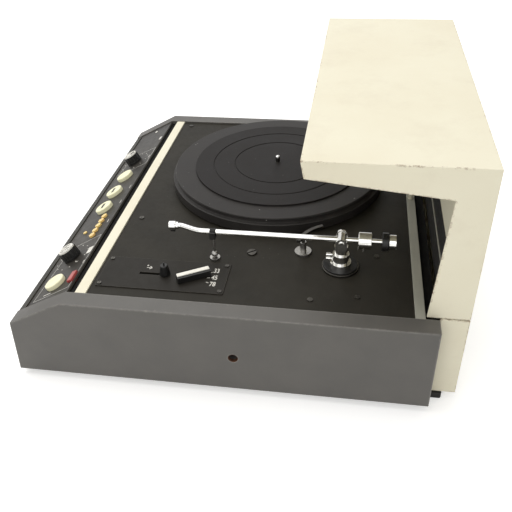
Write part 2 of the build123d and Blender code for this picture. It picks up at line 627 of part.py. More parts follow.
def make_operating_plate():
    """Screwed plate with the slot of the arm lift lever and the speed selector."""
    plate = block(PLATE_X0, PLATE_X1, PLATE_Y0, PLATE_Y1, 0.0, PLATE_T)
    plate = fillet(plate.edges().filter_by(Axis.Z), 2.0)
    plate -= block(CUE_X - 2.3, CUE_X + 2.3, CUE_Y - CUE_TRAVEL - 3, CUE_Y + 3, -1, 3)
    plate -= disc(SELECTOR_X, SELECTOR_Y, -1, 3, 3.6)
    for x, y in plate_screw_places():
        plate -= disc(x, y, -1, 3, 1.5)
    PARTS["operating_plate"] = plate
    knob = Pos(CUE_X, CUE_Y, 10.0) * Cone(7.2, 4.8, 14.0)
    knob = fillet(knob.edges().sort_by(Axis.Z)[-1], 1.4)
    slider = disc(CUE_X, CUE_Y, -10.0, 4.0, 2.1)
    PARTS["cue_lever"] = knob + slider + block(CUE_X - 7, CUE_X + 7, CUE_Y - 9, CUE_Y + 9, -16.0, -8.0)
    turn = Pos(SELECTOR_X, SELECTOR_Y, 0) * Rot(0, 0, SELECTOR_REST_DEG)
    lever = fillet(Box(11.0, SELECTOR_L, 8.0).edges().filter_by(Axis.Z), 1.5)
    lever = turn * Pos(0, 0, 6.5) * lever + disc(SELECTOR_X, SELECTOR_Y, -18.0, 3.5, 3.0)
    PARTS["selector_lever"] = group([lever, turn * Pos(-1.5, 0, 11.1) * Box(6.0, SELECTOR_L - 2.0, 1.2)])


def hood_underside(y):
    """Height of the hood's underside at a depth y."""
    nose_y = HOOD_FRONT + HOOD_NOSE_RAKE
    nose_z = HOOD_TOP - HOOD_NOSE_T
    share = (y - nose_y) / (HOOD_INNER_Y - nose_y)
    return nose_z + share * (HOOD_INNER_Z - nose_z)


def make_hood():
    """Folded hood: a skin that ends in an inner wall, two end plates and a dark panel below the wall."""
    nose_y = HOOD_FRONT + HOOD_NOSE_RAKE
    nose_z = HOOD_TOP - HOOD_NOSE_T
    wall_rear = INNER_PANEL_Y + INNER_PANEL_T
    skin = [
        (nose_y, nose_z),
        (HOOD_FRONT, HOOD_TOP),
        (HOOD_REAR, HOOD_TOP),
        (HOOD_REAR, HOOD_BOTTOM),
        (HOOD_REAR - SHEET_T, HOOD_BOTTOM),
        (HOOD_REAR - SHEET_T, HOOD_TOP - SHEET_T),
        (HOOD_FRONT + SHEET_T + 0.4, HOOD_TOP - SHEET_T),
        (nose_y + SHEET_T, hood_underside(nose_y + SHEET_T) + SHEET_T),
        (wall_rear, hood_underside(wall_rear) + SHEET_T),
        (wall_rear, INNER_PANEL_TOP),
        (INNER_PANEL_Y, INNER_PANEL_TOP),
        (INNER_PANEL_Y, hood_underside(INNER_PANEL_Y)),
    ]
    end = [
        (nose_y, nose_z),
        (HOOD_FRONT, HOOD_TOP),
        (HOOD_REAR, HOOD_TOP),
        (HOOD_REAR, HOOD_BOTTOM),
        (HOOD_FOOT_Y, HOOD_BOTTOM),
        (HOOD_INNER_Y, HOOD_INNER_Z),
    ]
    hood = prism_x(skin, HOOD_LEFT, HOOD_RIGHT)
    hood += prism_x(end, HOOD_LEFT, HOOD_LEFT + HOOD_END_T)
    hood += prism_x(end, HOOD_RIGHT - HOOD_END_T, HOOD_RIGHT)
    PARTS["hood"] = hood
    inner_x0 = HOOD_LEFT + HOOD_END_T
    inner_x1 = HOOD_RIGHT - HOOD_END_T
    panel = block(inner_x0, inner_x1, INNER_PANEL_Y, wall_rear, HOOD_BOTTOM + 3.0, INNER_PANEL_TOP)
    rail = block(inner_x0, inner_x1, INNER_PANEL_Y - 1.2, INNER_PANEL_Y, INNER_RAIL_Z, INNER_RAIL_Z + 1.6)
    PARTS["hood_inner_panel"] = group([panel, rail])


def make_hinges():
    """Two barrel hinges behind the hood, each with a fixed leaf, a moving leaf and a pin."""
    barrel_half = 25.0
    knuckle_half = 9.0
    play = 0.4
    leaf_t = 1.5
    pin_r = 1.8
    leaf_y = HOOD_REAR + leaf_t
    fixed = []
    moving = []
    pins = []
    for x in HINGE_XS:
        x0 = x - barrel_half
        x1 = x + barrel_half
        knuckle = (x - knuckle_half, x + knuckle_half)
        gap = (x - knuckle_half - play, x + knuckle_half + play)
        web = block(x0, x1, HOOD_REAR, HINGE_Y, HINGE_Z - 3.4, HINGE_Z)
        web -= block(*gap, HOOD_REAR - 1, HINGE_Y + 1, -10, 10)
        barrel = rod_x(HINGE_Y, HINGE_Z, x0, x1, HINGE_BARREL_R)
        barrel -= rod_x(HINGE_Y, HINGE_Z, *gap, HINGE_BARREL_R + 1)
        low = block(x0, x1, HOOD_REAR, leaf_y, HINGE_Z - 27.5, HINGE_Z - 2.5) + (barrel + web)
        low -= rod_x(HINGE_Y, HINGE_Z, x0 - 1, x1 + 1, pin_r)
        low -= block(*gap, HOOD_REAR - 1, HINGE_Y + 5, HINGE_Z - 4.4, HINGE_Z + 4.4)
        fixed.append(low)
        high = block(x0, x1, HOOD_REAR, leaf_y, HINGE_Z + 5.0, HINGE_Z + 28.5)
        high += block(*knuckle, HOOD_REAR, leaf_y, HINGE_Z, HINGE_Z + 6.5)
        high += rod_x(HINGE_Y, HINGE_Z, *knuckle, HINGE_BARREL_R)
        moving.append(high - rod_x(HINGE_Y, HINGE_Z, x0, x1, pin_r + RUNNING_GAP))
        pins.append(rod_x(HINGE_Y, HINGE_Z, x0, x1, pin_r))
    PARTS["hinge_fixed_leaves"] = group(fixed + pins)
    PARTS["hinge_moving_leaves"] = group(moving)


def plug_plate():
    """Plate behind the housing with an opening for each connector."""
    plate = block(PLUG_PLATE_X0, PLUG_PLATE_X1, HOOD_REAR, PLUG_FACE_Y, PLUG_PLATE_Z0, PLUG_PLATE_Z1)
    cut = (HOOD_REAR - 1, PLUG_FACE_Y + 1)
    inlet_x = (INLET_X - INLET_HALF_X, INLET_X + INLET_HALF_X)
    plate -= block(*inlet_x, *cut, PLUG_Z - INLET_HALF_Z, PLUG_Z + INLET_HALF_Z)
    for x, r in ((FUSE_X, FUSE_R), (SOCKET_X, SOCKET_R), (EARTH_X, EARTH_R)):
        plate -= rod_y(x, PLUG_Z, *cut, r)
    return plate


def mains_inlet():
    """Recessed mains inlet with three flat pins and a flange on the plate."""
    wall = 2.0
    flange = 3.0
    depth = 16.0
    half_x = INLET_HALF_X
    half_z = INLET_HALF_Z
    rear = PLUG_FACE_Y + 2.0
    front = PLUG_FACE_Y - 24.0
    inlet = block(INLET_X - half_x, INLET_X + half_x, front, rear, PLUG_Z - half_z, PLUG_Z + half_z)
    half_x += flange
    half_z += flange
    inlet += block(INLET_X - half_x, INLET_X + half_x, PLUG_FACE_Y, rear, PLUG_Z - half_z, PLUG_Z + half_z)
    half_x = INLET_HALF_X - wall
    half_z = INLET_HALF_Z - wall
    back = PLUG_FACE_Y - depth
    inlet -= block(INLET_X - half_x, INLET_X + half_x, back, rear + 1, PLUG_Z - half_z, PLUG_Z + half_z)
    pieces = [inlet]
    for dx, dz in ((-7.0, -2.0), (0.0, 2.0), (7.0, -2.0)):
        pin = block(-1, 1, back, back + 10.0, -2, 2)
        pieces.append(Pos(INLET_X + dx, 0, PLUG_Z + dz) * pin)
    return group(pieces)


def signal_socket():
    """Round signal socket with six contacts in its well."""
    flange_r = SOCKET_R + 3.0
    well_r = 9.5
    well_y = PLUG_FACE_Y - 10.0
    socket = rod_y(SOCKET_X, PLUG_Z, well_y - 4.0, PLUG_FACE_Y, SOCKET_R)
    socket += rod_y(SOCKET_X, PLUG_Z, PLUG_FACE_Y, PLUG_FACE_Y + 2.5, flange_r)
    pieces = [socket - rod_y(SOCKET_X, PLUG_Z, well_y, PLUG_FACE_Y + 5.0, well_r)]
    contact_count = 6
    circle = 5.5
    for i in range(contact_count):
        turn = math.radians(360.0 / contact_count * i)
        x = SOCKET_X + circle * math.cos(turn)
        z = PLUG_Z + circle * math.sin(turn)
        pieces.append(rod_y(x, z, well_y, well_y + 6.0, 0.8))
    return group(pieces)


def fuse_holder():
    """Fuse holder with its cap behind the plate."""
    holder = rod_y(FUSE_X, PLUG_Z, PLUG_FACE_Y - 18.0, PLUG_FACE_Y, FUSE_R)
    return holder + rod_y(FUSE_X, PLUG_Z, PLUG_FACE_Y, PLUG_FACE_Y + 5.0, FUSE_R + 1.5)


def earth_post():
    """Earth terminal with its thumb nut."""
    post = rod_y(EARTH_X, PLUG_Z, PLUG_FACE_Y - 10.0, PLUG_FACE_Y + 1.0, EARTH_R)
    return post + rod_y(EARTH_X, PLUG_Z, PLUG_FACE_Y, PLUG_FACE_Y + 4.5, EARTH_R + 2.5)


def make_rear():
    """Cream rear housing and everything on its connector plate."""
    y0 = PANEL_REAR + 0.3
    housing = block(HOOD_LEFT, HOOD_RIGHT, y0, HOOD_REAR, CASE_BOTTOM, HOUSING_TOP)
    left = HOOD_LEFT + SHEET_T
    right = HOOD_RIGHT - SHEET_T
    housing -= block(left, right, y0 - 1, HOOD_REAR - SHEET_T, CASE_BOTTOM + SHEET_T, HOUSING_TOP + 1)
    x0 = PLUG_PLATE_X0 + PLUG_PLATE_MARGIN
    x1 = PLUG_PLATE_X1 - PLUG_PLATE_MARGIN
    z0 = PLUG_PLATE_Z0 + PLUG_PLATE_MARGIN
    z1 = PLUG_PLATE_Z1 - PLUG_PLATE_MARGIN
    PARTS["rear_housing"] = housing - block(x0, x1, HOOD_REAR - 5, HOOD_REAR + 1, z0, z1)
    PARTS["mains_inlet"] = mains_inlet()
    PARTS["signal_socket"] = signal_socket()
    PARTS["connector_plate"] = group([plug_plate(), fuse_holder(), earth_post()])


def make_inside():
    """Mains transformer and the circuit boards."""
    floor = CASE_BOTTOM + SHEET_T
    core_x = (190.0, 262.0)
    core_y = (120.0, 180.0)
    core_h = 58.0
    limb = 12.0
    windows = ((202.0, 216.0), (236.0, 250.0))
    core = block(*core_x, *core_y, floor, floor + core_h)
    for x0, x1 in windows:
        core -= block(x0, x1, core_y[0] - 10, core_y[1] + 10, floor + limb, floor + core_h - limb)
    gap = 0.2
    coil_x = (windows[0][0] + gap, windows[1][1] - gap)
    coil_z = (floor + limb + gap, floor + core_h - limb - gap)
    winding = block(*coil_x, core_y[0] - limb, core_y[1] + limb, *coil_z)
    middle = (windows[0][1], windows[1][0])
    winding -= block(*middle, core_y[0] - 0.1, core_y[1] + 0.1, floor + limb, floor + core_h - limb)
    PARTS["mains_transformer"] = group([core, winding])
    board_t = 1.6
    board_z = floor + 12.0
    boards = [block(-150.0, 120.0, -200.0, -90.0, board_z, board_z + board_t)]
    for x in (-140.0, 110.0):
        for y in (-190.0, -100.0):
            boards.append(disc(x, y, floor, board_z, 4.0))
    lamp_x0 = LENS_XS[0] - 12.0
    lamp_x1 = LENS_XS[-1] + 12.0
    lamp_top = -STRIP_DROP - 4.4
    boards.append(slope_block(lamp_x0, lamp_x1, 30.0, 72.0, lamp_top - board_t, lamp_top))
    PARTS["circuit_boards"] = group(boards)


def write_parts():
    """Shift every piece to the stored frame and write one file each."""
    os.makedirs("parts", exist_ok=True)
    shift = Location((STORED_X, STORED_Y, STORED_Z))
    for name, shape in PARTS.items():
        solids = [solid.moved(shift) for solid in shape.solids()]
        stored = solids[0] if len(solids) == 1 else Compound(solids)
        export_step(stored, f"parts/{name}.step")
    print(len(PARTS), "pieces, shift", STORED_X, STORED_Y, STORED_Z)


make_case()
make_strip()
make_buttons()
make_knobs()
make_deck()
make_deck_screws()
make_lock_screw()
make_platter()
make_motor()
make_arm_base()
make_arm_carrier()
make_arm()
make_weights()
make_arm_rest()
make_lift()
make_operating_plate()
make_hood()
make_hinges()
make_rear()
make_inside()
write_parts()
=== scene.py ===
"""Looks of a broadcast turntable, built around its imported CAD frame.

Lengths are in millimetres from the point where the platter's axis meets the top of the deck.
X is the operator's right, Y is the rear and Z is up, as in the frame, which is in metres.
"""

import json
import math

import bmesh
import bpy
from mathutils import Matrix, Vector

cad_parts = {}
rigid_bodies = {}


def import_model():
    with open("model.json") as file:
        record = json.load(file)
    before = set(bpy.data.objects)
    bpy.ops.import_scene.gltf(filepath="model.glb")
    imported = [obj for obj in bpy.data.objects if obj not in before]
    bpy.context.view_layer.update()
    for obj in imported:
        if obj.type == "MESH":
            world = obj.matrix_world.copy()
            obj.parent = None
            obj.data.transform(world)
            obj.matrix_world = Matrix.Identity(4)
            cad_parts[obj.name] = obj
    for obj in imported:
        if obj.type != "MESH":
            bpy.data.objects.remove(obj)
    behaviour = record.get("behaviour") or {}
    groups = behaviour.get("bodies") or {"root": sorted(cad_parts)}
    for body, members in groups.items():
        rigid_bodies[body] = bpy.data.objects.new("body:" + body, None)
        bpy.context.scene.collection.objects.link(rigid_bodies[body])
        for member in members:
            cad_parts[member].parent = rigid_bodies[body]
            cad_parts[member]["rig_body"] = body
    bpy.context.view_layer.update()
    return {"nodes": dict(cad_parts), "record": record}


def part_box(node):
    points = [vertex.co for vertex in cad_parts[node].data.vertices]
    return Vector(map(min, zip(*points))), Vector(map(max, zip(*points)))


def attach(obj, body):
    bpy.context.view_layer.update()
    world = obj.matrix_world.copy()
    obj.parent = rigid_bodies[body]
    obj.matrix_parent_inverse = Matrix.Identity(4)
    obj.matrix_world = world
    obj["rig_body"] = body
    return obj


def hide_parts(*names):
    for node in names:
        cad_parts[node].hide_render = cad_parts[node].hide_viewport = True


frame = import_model()

MM = 0.001
SPINDLE_LOW, SPINDLE_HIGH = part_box("spindle")
DECK_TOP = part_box("deck_plate")[1].z
ORIGIN = Vector(((SPINDLE_LOW.x + SPINDLE_HIGH.x) / 2, (SPINDLE_LOW.y + SPINDLE_HIGH.y) / 2, DECK_TOP))
TO_FRAME = Matrix.Translation(ORIGIN) @ Matrix.Scale(MM, 4)

# The photograph's camera, found by fitting the unit's straight edges. Its angles are in radians.
IMAGE_PX = 512
FOCAL_PX = 627.310
CENTRE_PX = (259.635, 244.194)
CAMERA_PLACE = (895.915, 120.096, 508.700)
CAMERA_YAW = -0.171303
CAMERA_PITCH = 0.618357
CAMERA_ROLL = -0.037312
SENSOR = 36.0

# The sloping control strip: from its nose, up the slope.
NOSE_Y = -308.0
NOSE_Z = -37.0
SLOPE = math.atan2(40.0, 76.0)

# Edges that turn less than SMOOTH_ANGLE are shaded smooth, faces that turn less than FLAT_ANGLE become
# one, and points nearer than WELD, in metres, are joined.
SMOOTH_ANGLE = math.radians(36)
FLAT_ANGLE = math.radians(0.6)
WELD = 1e-6

# Edge marks begin and are full where the cosine between the rounded and the plain normal has these values.
# The marks are wear and chips, and on the lip and the operating plate also a painted highlight.
EDGE_MARK_BEGINS = 0.995
EDGE_MARK_FULL = 0.86

# The stretch of the hood's edges, along Y, where most of the paint is chipped, and the fade at its ends.
CHIPPED = (160.0, 236.0)
CHIPPED_EASE = 4.0

# How far the real edges of each CAD node in view are rounded over.
EDGE_WIDTHS = {
    "hood": 1.5, "side_panel_right": 0.9, "side_panel_left": 0.9, "rear_housing": 1.0, "front_apron": 0.5,
    "deck_plate": 0.4, "rear_rail": 0.5, "trim_strip": 0.5, "strip_lip": 0.4, "control_panel": 0.3,
    "operating_plate": 0.3, "hood_inner_panel": 0.5, "feet": 0.8, "platter": 0.6, "platter_mat": 0.5,
    "start_button": 0.9, "stop_button": 0.9, "cue_button": 0.9, "power_button": 0.9, "mains_key": 0.6,
    "level_knob": 0.35, "pitch_knob": 0.35, "lock_screw": 0.3, "selector_lever": 0.35, "cue_lever": 0.4,
    "arm_base": 0.5, "arm_base_ring": 0.4, "arm_pillar": 0.3, "arm_collar": 0.4, "arm_fork": 0.4,
    "arm_hub": 0.3, "arm_tube": 0.2, "head_collet": 0.3, "headshell": 0.6, "cartridge": 0.3,
    "rest_sleeve": 0.3, "weight_rod": 0.2, "main_weight": 0.4, "fine_weight": 0.4, "rest_post": 0.25,
    "rest_cradle": 0.3, "lift_guide": 0.3, "lift_bar": 0.4, "deck_screws": 0.2, "spindle": 0.25,
    "connector_plate": 0.4, "mains_inlet": 0.3, "signal_socket": 0.2, "hinge_fixed_leaves": 0.3,
    "hinge_moving_leaves": 0.3, "indicator_lenses": 0.3,
}

# CAD nodes that look different from the rest of their slot. The spindle and the arm's base ring get a
# darker steel, and the rest post plain steel, in place of chrome: painted shade on their reflections.
OWN_LOOK = {
    "platter_mat": "mat_rubber", "deck_screws": "dark_and_shaded_steel", "lock_screw": "dark_and_shaded_steel",
    # The near black of the dark channels is painted shade for the gap between strip and trim.
    "spindle": "dark_and_shaded_steel", "arm_base_ring": "dark_and_shaded_steel", "dark_channels": "gap_shade_black",
    "strip_lip": "lip_black", "operating_plate": "plate_black", "lift_bar": "dark_and_shaded_steel",
    "lift_guide": "steel", "rest_post": "steel",
}

# Prints and fittings on the control strip: places are (X, distance up the slope from the nose).
# STRIP_LIFT is the height of its face over the slope, and INK is how thick a print is.
# Here and below, an outline is a turned piece's (radius, height) pairs.
STRIP_LIFT = -2.0
INK = 0.12
BUTTON_RUN = 48.0
WINDOWS = {"stop_button": 50.0, "cue_button": 99.0}
WINDOW_SIZE = (13.0, 4.6, 0.5)
WINDOW_EASE = 0.2
WINDOW_LIFT = 3.8
KNOB_RUN = 46.0
KNOBS = {"level_knob": -60.0, "pitch_knob": 228.0}
KNOB_CAP_OUTLINE = [
    (0, 12.9), (12.15, 12.9), (12.15, 14.1), (11.5, 14.8), (10.4, 14.85), (10.0, 14.6), (0, 14.6),
]
POINTER = [(0, 2.0), (0, 9.4)]
POINTER_W = 1.0
POINTER_LIFT = 14.58
SCALE_R = 26.5
SCALE_DOT_R = 0.95
SCALE_DEGREES = range(-75, 256, 30)
FRAME_LINES = {
    "near": [(316, 21), (311, 81), (191, 82.5), (198, 27), (316, 21)],
    "far": [(-28, 20), (-28, 82.5), (-88, 82.5), (-92, 30), (-28, 20)],
}
FRAME_LINE_W = 0.9
DASHES = [
    [(47, 79.5), (55, 79.5)],
    [(93, 78.5), (101, 78.5)],
    [(147, 77.0), (155, 77.0)],
    [(-60, 79.0), (-52, 79.0)],
    [(309.5, 36.0), (308.7, 48.0)],
    [(252, 80.0), (258, 80.0)],
    [(244, 60.0), (247, 62.0)],
    [(266, 30.0), (272, 33.0)],
]
DASH_W = 1.3
LABELS = (((227, 78.0), (15.0, 8.4, 0.5)), ((-128, 79.6), (11.0, 4.6, 0.5)))
LABEL_EASE = 0.24
STRIP_SCREW = (-178, 53)
STRIP_SCREW_OUTLINE = [(0, 0), (2.6, 0), (2.4, 0.7), (1.4, 1.1), (0, 1.2)]

# Prints and levers on the operating plate
PLATE_TOP = 1.5
NUMBERS = (("33", 260.0), ("45", 274.4), ("78", 287.8))
NUMBER_Y = -48.6
NUMBER_SIZE = 10.0
NUMBER_STRETCH = (0.82, 1.22)
NUMBER_THICKENING = 0.12
TICK_START = 9.5
TICK_LENGTH = 3.0
TICK_W = 0.9
SELECTOR = (277.6, -75.4)
SELECTOR_TURN = math.radians(29.7)
SELECTOR_CAP_SIZE = (6.3, 43.3, 1.4)
SELECTOR_CAP_EASE = 0.4
SELECTOR_CAP_LOW = 10.45
SELECTOR_CAP_SHIFT = -1.5
CUE = (274.5, -115.0)
CUE_PIN_OUTLINE = [(0, 16.5), (1.1, 16.5), (1.1, 20.4), (0.7, 20.9), (0, 21.0)]
ARROW_PLACE = (262.5, -143.0)
ARROW_SHAFT = [(0, 0), (7, 0)]
ARROW_BARBS = [(4, -2.6), (7, 0), (4, 2.6)]
ARROW_W = 1.0
ARROW_DOT = (0, 4.6)
ARROW_DOT_R = 1.1

# Small fittings elsewhere
SPINDLE_TIP_OUTLINE = [(0, 36.6), (3.64, 36.6), (3.64, 37.2), (3.2, 38.6), (2.0, 39.45), (0, 39.6)]
ARM_PIVOT = (230.5, 112.0, 44.0)
GRIP_SHIFT = 59.6
GRIP_OUTLINE = [(9.3, 0), (9.7, 0.4), (9.7, 8.6), (9.3, 9.0), (9.2, 9.0), (9.2, 0)]
INNER_LINE_PLACE = (66.5, 231.3, 49.9)
INNER_LINE_SIZE = (504.6, 1.6, 1.8)
INNER_LINE_EASE = 0.3
PEG_PLACE = (48.0, 210.5)
PEG_OUTLINE = [(0, 0.9), (3.3, 0.9), (3.3, 8.6), (2.7, 9.25), (0, 9.3)]
HOLE_Y = -14.0
HOLE_Z = -65.0
HOLE_RIM_OUTLINE = [(5.5, -4.0), (6.48, -4.0), (6.48, -0.02), (6.2, -0.02), (5.7, -0.7)]
HOLE_MOUTHS = (("right", 350.0, 1), ("left", -220.0, -1))

# Stage and light: sizes and places are in metres here. A lamp has a place, a size and its watts.
FLOOR_HALF = 6.0
FLOOR_BASE = (0.90, 0.90, 0.89)
FLOOR_SHADE = (0.88, 0.88, 0.87)
VIEW_REACH = 50.0
SKY_LEVEL = 0.58
SKY_COLOUR = (1.0, 0.99, 0.975, 1.0)
LAMP_COLOUR = (1.0, 0.99, 0.97)
FLOOR_LIFT = 0.42
LAMPS = (
    ("ceiling", (-0.5, -0.9, 2.6), 3.0, 52.0),
    ("side", (2.6, -0.4, 1.6), 2.0, 17.0),
)

# Every material made so far, by name
MATERIALS = {}


def on_slope(x, run, lift=0.0):
    """The place above the control strip's slope, run up from its nose."""
    y = NOSE_Y + run * math.cos(SLOPE) - lift * math.sin(SLOPE)
    z = NOSE_Z + run * math.sin(SLOPE) + lift * math.cos(SLOPE)
    return Matrix.Translation((x, y, z)) @ Matrix.Rotation(SLOPE, 4, "X")


# Materials


class Look:
    """A procedural material, put together layer by layer on one principled shader."""

    def __init__(self, name):
        self.material = bpy.data.materials.new(name)
        self.material.use_nodes = True
        self.tree = self.material.node_tree
        self.shader = self.tree.nodes["Principled BSDF"]
        self.place = self.node("ShaderNodeTexCoord").outputs["Object"]
        self.normal = None
        MATERIALS[name] = self.material

    def node(self, kind, **settings):
        made = self.tree.nodes.new(kind)
        for key, value in settings.items():
            setattr(made, key, value)
        return made

    def wire(self, source, socket):
        """Joins an output to an input, or writes a plain value there."""
        if hasattr(source, "is_linked"):
            self.tree.links.new(source, socket)
        else:
            socket.default_value = source

    def noise(self, size, detail=3.0, rough=0.55):
        """Clouds with features of about the given size in mm."""
        made = self.node("ShaderNodeTexNoise")
        self.wire(self.place, made.inputs["Vector"])
        made.inputs["Scale"].default_value = 1.0 / (size * MM)
        made.inputs["Detail"].default_value = detail
        made.inputs["Roughness"].default_value = rough
        return made.outputs["Fac"]

    def cells(self, size):
        """Distance from the nearest of many scattered points, in cell widths."""
        made = self.node("ShaderNodeTexVoronoi")
        self.wire(self.place, made.inputs["Vector"])
        made.inputs["Scale"].default_value = 1.0 / (size * MM)
        return made.outputs["Distance"]

    def spread(self, value, low, high, to_low=0.0, to_high=1.0):
        made = self.node("ShaderNodeMapRange")
        self.wire(value, made.inputs["Value"])
        made.inputs["From Min"].default_value = low
        made.inputs["From Max"].default_value = high
        made.inputs["To Min"].default_value = to_low
        made.inputs["To Max"].default_value = to_high
        return made.outputs["Result"]

    def math(self, operation, first, second):
        made = self.node("ShaderNodeMath", operation=operation)
        self.wire(first, made.inputs[0])
        self.wire(second, made.inputs[1])
        return made.outputs[0]

    def mix(self, factor, first, second):
        made = self.node("ShaderNodeMix", data_type="RGBA")
        self.wire(factor, made.inputs["Factor"])
        for value, socket in ((first, made.inputs[6]), (second, made.inputs[7])):
            self.wire(value if hasattr(value, "is_linked") else (*value, 1.0), socket)
        return made.outputs[2]

    def edges(self, width):
        """1 along sharp outer and inner edges, 0 on flats."""
        eased = self.node("ShaderNodeBevel", samples=4)
        eased.inputs["Radius"].default_value = width * MM
        plain = self.node("ShaderNodeNewGeometry").outputs["Normal"]
        dot = self.node("ShaderNodeVectorMath", operation="DOT_PRODUCT")
        self.wire(eased.outputs["Normal"], dot.inputs[0])
        self.wire(plain, dot.inputs[1])
        return self.spread(dot.outputs["Value"], EDGE_MARK_BEGINS, EDGE_MARK_FULL)

    def rings(self, pitch):
        """Fine turning marks about the platter's axis, as a height from 0 to 1."""
        mapping = self.node("ShaderNodeMapping")
        self.wire(self.place, mapping.inputs["Vector"])
        mapping.inputs["Location"].default_value = (-ORIGIN.x, -ORIGIN.y, 0.0)
        mapping.inputs["Scale"].default_value = (1.0, 1.0, 0.0)
        length = self.node("ShaderNodeVectorMath", operation="LENGTH")
        self.wire(mapping.outputs["Vector"], length.inputs[0])
        turns = self.math("MULTIPLY", length.outputs["Value"], 2 * math.pi / (pitch * MM))
        return self.spread(self.math("SINE", turns, 0.0), -1.0, 1.0)

    def between(self, low, high):
        """1 from low to high along Y, in mm, and 0 outside."""
        split = self.node("ShaderNodeSeparateXYZ")
        self.wire(self.place, split.inputs[0])
        ease = CHIPPED_EASE * MM
        above = self.spread(split.outputs["Y"], ORIGIN.y + low * MM - ease, ORIGIN.y + low * MM)
        below = self.spread(split.outputs["Y"], ORIGIN.y + high * MM + ease, ORIGIN.y + high * MM)
        return self.math("MULTIPLY", above, below)

    def bump(self, height, depth):
        """Relief of the given depth in mm, on top of any relief so far."""
        made = self.node("ShaderNodeBump")
        made.inputs["Distance"].default_value = depth * MM
        self.wire(height, made.inputs["Height"])
        if self.normal is not None:
            self.wire(self.normal, made.inputs["Normal"])
        self.normal = made.outputs["Normal"]

    def close(self, colour, rough, metallic=0.0, specular=0.5):
        """Joins the finished colour, roughness and relief to the shader."""
        self.wire(colour, self.shader.inputs["Base Color"])
        self.wire(rough, self.shader.inputs["Roughness"])
        self.shader.inputs["Metallic"].default_value = metallic
        self.shader.inputs["Specular IOR Level"].default_value = specular
        if self.normal is not None:
            self.wire(self.normal, self.shader.inputs["Normal"])


def painted(name, base, shade, edge, rough, patch=70.0, grain=0.9, depth=0.03, edge_width=1.2,
            edge_share=0.5, specular=0.5, specks=None, chips=None, chip_level=0.6, smudge=None,
            worn_stretch=None, metallic=0.0):
    """Paint or moulded plastic: cloudy colour, fine texture, pale edges (wear, and on the lip and the
    operating plate also a painted highlight), and specks and chips if asked.
    """
    look = Look(name)
    clouds = look.noise(patch, detail=5.0)
    colour = look.mix(look.spread(clouds, 0.35, 0.68), base, shade)
    fine = look.noise(grain, detail=2.0)
    colour = look.mix(look.spread(fine, 0.3, 0.9, 0.0, 0.35), colour, shade)
    rubbed = look.noise(9.0, detail=6.0, rough=0.7)
    if smudge is not None:
        handled = look.spread(look.noise(90.0, detail=8.0, rough=0.72), 0.5, 0.72, 0.0, 0.27)
        colour = look.mix(handled, colour, smudge)
    # Pale edge colour: wear, and on the lip and the operating plate also a painted highlight along the
    # edges.
    edge_wear_and_highlight = look.edges(edge_width)
    patchy = look.spread(rubbed, 0.62 - edge_share * 0.3, 0.66)
    colour = look.mix(look.math("MULTIPLY", edge_wear_and_highlight, patchy), colour, edge)
    if specks is not None:
        dust = look.spread(look.cells(11.0), 0.045, 0.025)
        thin = look.spread(look.noise(40.0), 0.48, 0.56)
        colour = look.mix(look.math("MULTIPLY", dust, thin), colour, specks)
    if chips is not None:
        torn = look.noise(6.0, detail=5.0, rough=0.75)
        bunched = look.spread(look.noise(75.0, detail=2.0), 0.5, 0.6)
        if worn_stretch is not None:
            bunched = look.math("MAXIMUM", bunched, look.between(*worn_stretch))
        knocked = look.edges(edge_width * 2.2)
        flakes = look.spread(torn, chip_level, chip_level + 0.03)
        hit = look.math("MULTIPLY", look.math("MULTIPLY", knocked, flakes), bunched)
        colour = look.mix(hit, colour, chips)
        look.bump(look.math("SUBTRACT", 1.0, hit), 0.12)
    look.bump(fine, depth)
    roughness = look.spread(rubbed, 0.3, 0.75, *rough)
    look.close(colour, roughness, metallic=metallic, specular=specular)


def metal(name, base, shade, rough):
    """Bare or plated metal with handling marks and a faint grain."""
    look = Look(name)
    clouds = look.noise(20.0, detail=5.0, rough=0.7)
    fine = look.noise(1.2, detail=4.0)
    colour = look.mix(look.spread(clouds, 0.4, 0.75), base, shade)
    colour = look.mix(look.spread(fine, 0.45, 0.95, 0.0, 0.4), colour, shade)
    look.bump(fine, 0.004)
    blend = look.math("ADD", look.math("MULTIPLY", clouds, 0.6), look.math("MULTIPLY", fine, 0.4))
    look.close(colour, look.spread(blend, 0.35, 0.7, *rough), metallic=1.0)


def turned_black(name, base, shade, pitch, depth, rough, specks, specular):
    """Dark turned disc with fine concentric marks, dust and a few pale specks."""
    look = Look(name)
    ridges = look.rings(pitch)
    clouds = look.noise(55.0, detail=6.0, rough=0.65)
    colour = look.mix(look.spread(clouds, 0.36, 0.7), base, shade)
    colour = look.mix(look.spread(ridges, 0.2, 1.0, 0.0, 0.3), colour, shade)
    dust = look.spread(look.cells(12.0), 0.085, 0.05)
    thin = look.spread(look.noise(30.0), 0.5, 0.58)
    colour = look.mix(look.math("MULTIPLY", dust, thin), colour, specks)
    worn = look.edges(0.9)
    colour = look.mix(look.spread(worn, 0.0, 1.0, 0.0, 0.2), colour, specks)
    look.bump(ridges, depth)
    look.bump(look.noise(1.4, detail=3.0), 0.012)
    look.close(colour, look.spread(clouds, 0.3, 0.7, *rough), specular=specular)


def clear_plastic(name, tint, rough, weight):
    """Tinted see-through plastic with faint clouding."""
    look = Look(name)
    haze = look.noise(8.0, detail=4.0)
    pale = tuple(min(1.0, part * 1.25) for part in tint)
    colour = look.mix(look.spread(haze, 0.35, 0.7), tint, pale)
    look.bump(look.noise(1.5), 0.01)
    look.shader.inputs["Transmission Weight"].default_value = weight
    look.close(colour, look.spread(haze, 0.3, 0.7, rough, rough * 2.2))


